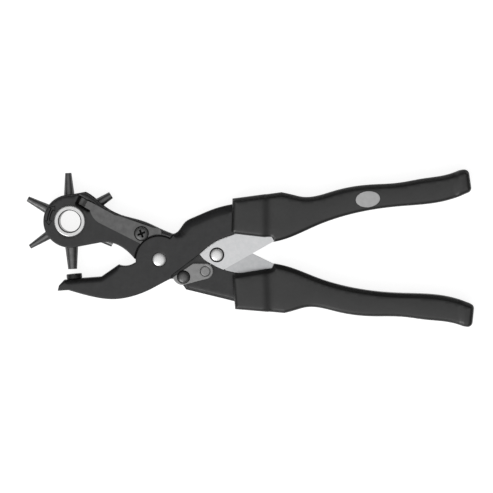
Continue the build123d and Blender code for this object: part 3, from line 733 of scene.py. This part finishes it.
class Finish:
    """A Principled material and short ways to wire its colour, roughness and bump."""

    def __init__(self, name, metallic, roughness, specular=0.5):
        self.material = bpy.data.materials.new(name)
        self.material.use_nodes = True
        self.tree = self.material.node_tree
        self.shader = self.tree.nodes["Principled BSDF"]
        self.shader.inputs["Metallic"].default_value = metallic
        self.shader.inputs["Roughness"].default_value = roughness
        self.shader.inputs["Specular IOR Level"].default_value = specular
        self.place = self.tree.nodes.new("ShaderNodeTexCoord").outputs["Object"]

    def noise(self, scale, detail=4.0, stretch=(1, 1, 1)):
        mapping = self.tree.nodes.new("ShaderNodeMapping")
        mapping.inputs["Scale"].default_value = stretch
        self.tree.links.new(self.place, mapping.inputs["Vector"])
        texture = self.tree.nodes.new("ShaderNodeTexNoise")
        texture.inputs["Scale"].default_value = scale
        texture.inputs["Detail"].default_value = detail
        self.tree.links.new(mapping.outputs["Vector"], texture.inputs["Vector"])
        return texture.outputs["Fac"]

    def ramp(self, factor, *stops):
        node = self.tree.nodes.new("ShaderNodeValToRGB")
        elements = node.color_ramp.elements
        while len(elements) < len(stops):
            elements.new(0.5)
        for element, (position, colour) in zip(elements, stops):
            element.position = position
            element.color = (*colour, 1) if isinstance(colour, tuple) else (colour, colour, colour, 1)
        self.tree.links.new(factor, node.inputs["Fac"])
        return node.outputs["Color"]

    def blended(self, mask, first, second):
        """The first where the mask is 0, the second where it is 1."""
        mix = self.tree.nodes.new("ShaderNodeMix")
        mix.data_type = "RGBA"
        self.tree.links.new(mask, mix.inputs["Factor"])
        for socket, value in ((mix.inputs[6], first), (mix.inputs[7], second)):
            if isinstance(value, bpy.types.NodeSocket):
                self.tree.links.new(value, socket)
            else:
                socket.default_value = (value, value, value, 1)
        return mix.outputs[2]

    def radius_from(self, joint, reach):
        """Distance from a joint's axis over a reach in mm, from 0 to 1."""
        offset = self.tree.nodes.new("ShaderNodeVectorMath")
        offset.operation = "SUBTRACT"
        offset.inputs[1].default_value = joint_place(joint)
        flat = self.tree.nodes.new("ShaderNodeVectorMath")
        flat.operation = "MULTIPLY"
        flat.inputs[1].default_value = (1 / (reach * MM), 1 / (reach * MM), 0)
        length = self.tree.nodes.new("ShaderNodeVectorMath")
        length.operation = "LENGTH"
        self.tree.links.new(self.place, offset.inputs[0])
        self.tree.links.new(offset.outputs["Vector"], flat.inputs[0])
        self.tree.links.new(flat.outputs["Vector"], length.inputs[0])
        return length.outputs["Value"]

    def worn_edges(self, colour, worn, amount=0.5):
        """Lightens convex edges a little, as handling does."""
        geometry_node = self.tree.nodes.new("ShaderNodeNewGeometry")
        mask = self.ramp(geometry_node.outputs["Pointiness"], (0.53, 0.0), (0.62, amount))
        return self.blended(mask, colour, worn)

    def colour(self, socket):
        self.tree.links.new(socket, self.shader.inputs["Base Color"])

    def rough(self, socket):
        self.tree.links.new(socket, self.shader.inputs["Roughness"])

    def bump(self, height, distance, strength=1.0):
        node = self.tree.nodes.new("ShaderNodeBump")
        node.inputs["Distance"].default_value = distance
        node.inputs["Strength"].default_value = strength
        self.tree.links.new(height, node.inputs["Height"])
        if self.shader.inputs["Normal"].is_linked:
            self.tree.links.new(self.shader.inputs["Normal"].links[0].from_socket, node.inputs["Normal"])
        self.tree.links.new(node.outputs["Normal"], self.shader.inputs["Normal"])


def forged_steel():
    """Black phosphated forging: fine blotches, a grainy surface, satin."""
    finish = Finish("forged_steel", 0.1, 0.4, 0.7)
    blotch = finish.noise(260.0, 6.0)
    black = finish.ramp(blotch, (0.3, (0.008, 0.008, 0.009)), (0.7, (0.016, 0.016, 0.017)))
    finish.colour(finish.worn_edges(black, 0.035))
    finish.rough(finish.ramp(finish.noise(900.0), (0.3, 0.34), (0.7, 0.46)))
    finish.bump(finish.noise(2600.0, 3.0), 0.00004, 0.5)
    return finish.material


def black_plastic():
    """Satin moulded plastic with a faint grain."""
    finish = Finish("black_plastic", 0.0, 0.4, 0.7)
    finish.colour(finish.ramp(finish.noise(120.0), (0.3, 0.008), (0.7, 0.013)))
    finish.rough(finish.ramp(finish.noise(700.0), (0.3, 0.34), (0.7, 0.44)))
    finish.bump(finish.noise(3200.0, 2.0), 0.00003, 0.4)
    return finish.material


def zinc_plate():
    finish = Finish("zinc_plate", 0.7, 0.45)
    grain = finish.noise(500.0, 6.0)
    finish.colour(finish.ramp(grain, (0.3, (0.77, 0.78, 0.79)), (0.7, (0.84, 0.84, 0.85))))
    finish.bump(finish.noise(3000.0, 3.0), 0.00003, 0.5)
    return finish.material


def shaded_zinc():
    """The lower channel's plating: a darker copy of the upper's, painted shade so that the two can be told
    apart.
    """
    finish = Finish("shaded_zinc", 0.7, 0.45)
    grain = finish.noise(500.0, 6.0)
    finish.colour(finish.ramp(grain, (0.3, (0.58, 0.59, 0.60)), (0.7, (0.65, 0.65, 0.66))))
    finish.bump(finish.noise(3000.0, 3.0), 0.00003, 0.5)
    return finish.material


def bright_steel():
    finish = Finish("bright_steel", 0.6, 0.3)
    finish.colour(finish.ramp(finish.noise(200.0), (0.3, 0.86), (0.7, 0.93)))
    finish.rough(finish.ramp(finish.noise(800.0), (0.3, 0.22), (0.7, 0.34)))
    return finish.material


def spring_steel():
    finish = Finish("spring_steel", 0.5, 0.5)
    finish.colour(finish.ramp(finish.noise(350.0, 6.0), (0.3, 0.14), (0.7, 0.19)))
    finish.rough(finish.ramp(finish.noise(900.0), (0.3, 0.44), (0.7, 0.58)))
    finish.bump(finish.noise(3000.0, 3.0), 0.00003, 0.4)
    return finish.material


def screw_steel():
    finish = Finish("screw_steel", 0.5, 0.4)
    finish.colour(finish.ramp(finish.noise(600.0), (0.3, 0.10), (0.7, 0.14)))
    return finish.material


def tube_steel():
    finish = Finish("tube_steel", 0.75, 0.3)
    finish.shader.inputs["Specular Tint"].default_value = (0.15, 0.15, 0.15, 1)
    finish.colour(finish.ramp(finish.noise(400.0), (0.3, 0.13), (0.7, 0.17)))
    finish.rough(finish.ramp(finish.noise(1200.0), (0.3, 0.26), (0.7, 0.36)))
    return finish.material


def link_steel():
    finish = Finish("link_steel", 0.6, 0.45)
    finish.colour(finish.ramp(finish.noise(450.0, 6.0), (0.3, 0.29), (0.7, 0.35)))
    finish.rough(finish.ramp(finish.noise(900.0), (0.3, 0.40), (0.7, 0.54)))
    finish.bump(finish.noise(2600.0, 3.0), 0.00003, 0.5)
    return finish.material


def anvil_steel():
    finish = Finish("anvil_steel", 0.6, 0.45)
    finish.colour(finish.ramp(finish.noise(500.0), (0.3, 0.018), (0.7, 0.03)))
    return finish.material


def hub_steel():
    """Bright on its rolled flanges, with painted shade, near black, down its bore."""
    finish = Finish("hub_steel", 0.8, 0.3)
    # painted shade: near black inside the bore's radius, bright on the flanges
    bore = finish.ramp(finish.radius_from("wheel_index", 8.0), (0.80, 0.0), (0.84, 1.0))
    bright = finish.ramp(finish.noise(300.0), (0.3, 0.70), (0.7, 0.80))
    finish.colour(finish.blended(bore, 0.06, bright))
    finish.rough(finish.ramp(finish.noise(800.0), (0.3, 0.24), (0.7, 0.36)))
    return finish.material


def dark_rivet():
    """The nose rivet, darker than the plates it holds."""
    finish = Finish("dark_rivet", 0.7, 0.3)
    finish.colour(finish.ramp(finish.noise(500.0), (0.3, 0.11), (0.7, 0.15)))
    finish.rough(finish.ramp(finish.noise(900.0), (0.3, 0.24), (0.7, 0.36)))
    return finish.material


def pale_print():
    finish = Finish("pale_print", 0.0, 0.5)
    finish.colour(finish.ramp(finish.noise(400.0), (0.3, 0.56), (0.7, 0.64)))
    return finish.material


# Near black: the arrow's line, and painted shade in the rivet rings, under the spring's finger, in the
# screw's cross recess and round the screw head
def dark_line_and_painted_shade():
    finish = Finish("dark_line_and_painted_shade", 0.0, 0.7, 0.1)
    finish.colour(finish.ramp(finish.noise(600.0), (0.3, 0.004), (0.7, 0.010)))
    return finish.material


MAKERS = (
    pale_print, dark_line_and_painted_shade, hub_steel, dark_rivet, forged_steel, black_plastic, zinc_plate, shaded_zinc,
    bright_steel, spring_steel, screw_steel, tube_steel, link_steel, anvil_steel,
)
MATERIALS = {maker.__name__: maker() for maker in MAKERS}



def dress_cad_nodes():
    for node, slot in SLOT_OF.items():
        data = NODES[node].data
        data.materials.clear()
        data.materials.append(MATERIALS[OWN_FINISH.get(node, slot)])


make_studio()
dress_cad_nodes()
make_jaw_lever()
make_wheel_arm()
make_lower_lever()
make_shims()
make_link_plates()
make_sleeve("upper_handle_sleeve", ("upper_handle_channel", 4.6, 5.35), ("anvil_jaw_lever", 3.4, 5.35))
make_sleeve("lower_handle_sleeve", ("lower_handle_channel", 3.2, 3.75), ("lower_lever", 0.0, 2.25))

make_domed_rivet("main_pivot_rivet", 5.95, 1.1)
make_domed_rivet("handle_pivot_rivet", 5.85, 0.9)
make_domed_rivet("nose_rivet", 5.1, 1.25)
make_flush_pin("link_pin")
make_groove_shade("main_rivet_groove_shade", "main_pivot_rivet", 3.7, 4.1, 5.05, "jaw_lever")
make_groove_shade("handle_rivet_groove_shade", "handle_pivot_rivet", 3.4, 4.2, 4.9, "jaw_lever")
make_groove_shade("nose_rivet_groove_shade", "nose_rivet", 3.1, 3.75, 3.85, "link")
make_slot_shade()
for cut_node, cut_width in BROKEN_EDGES.items():
    break_edges(cut_node, cut_width)
make_badge()
make_arrow()
make_screw()
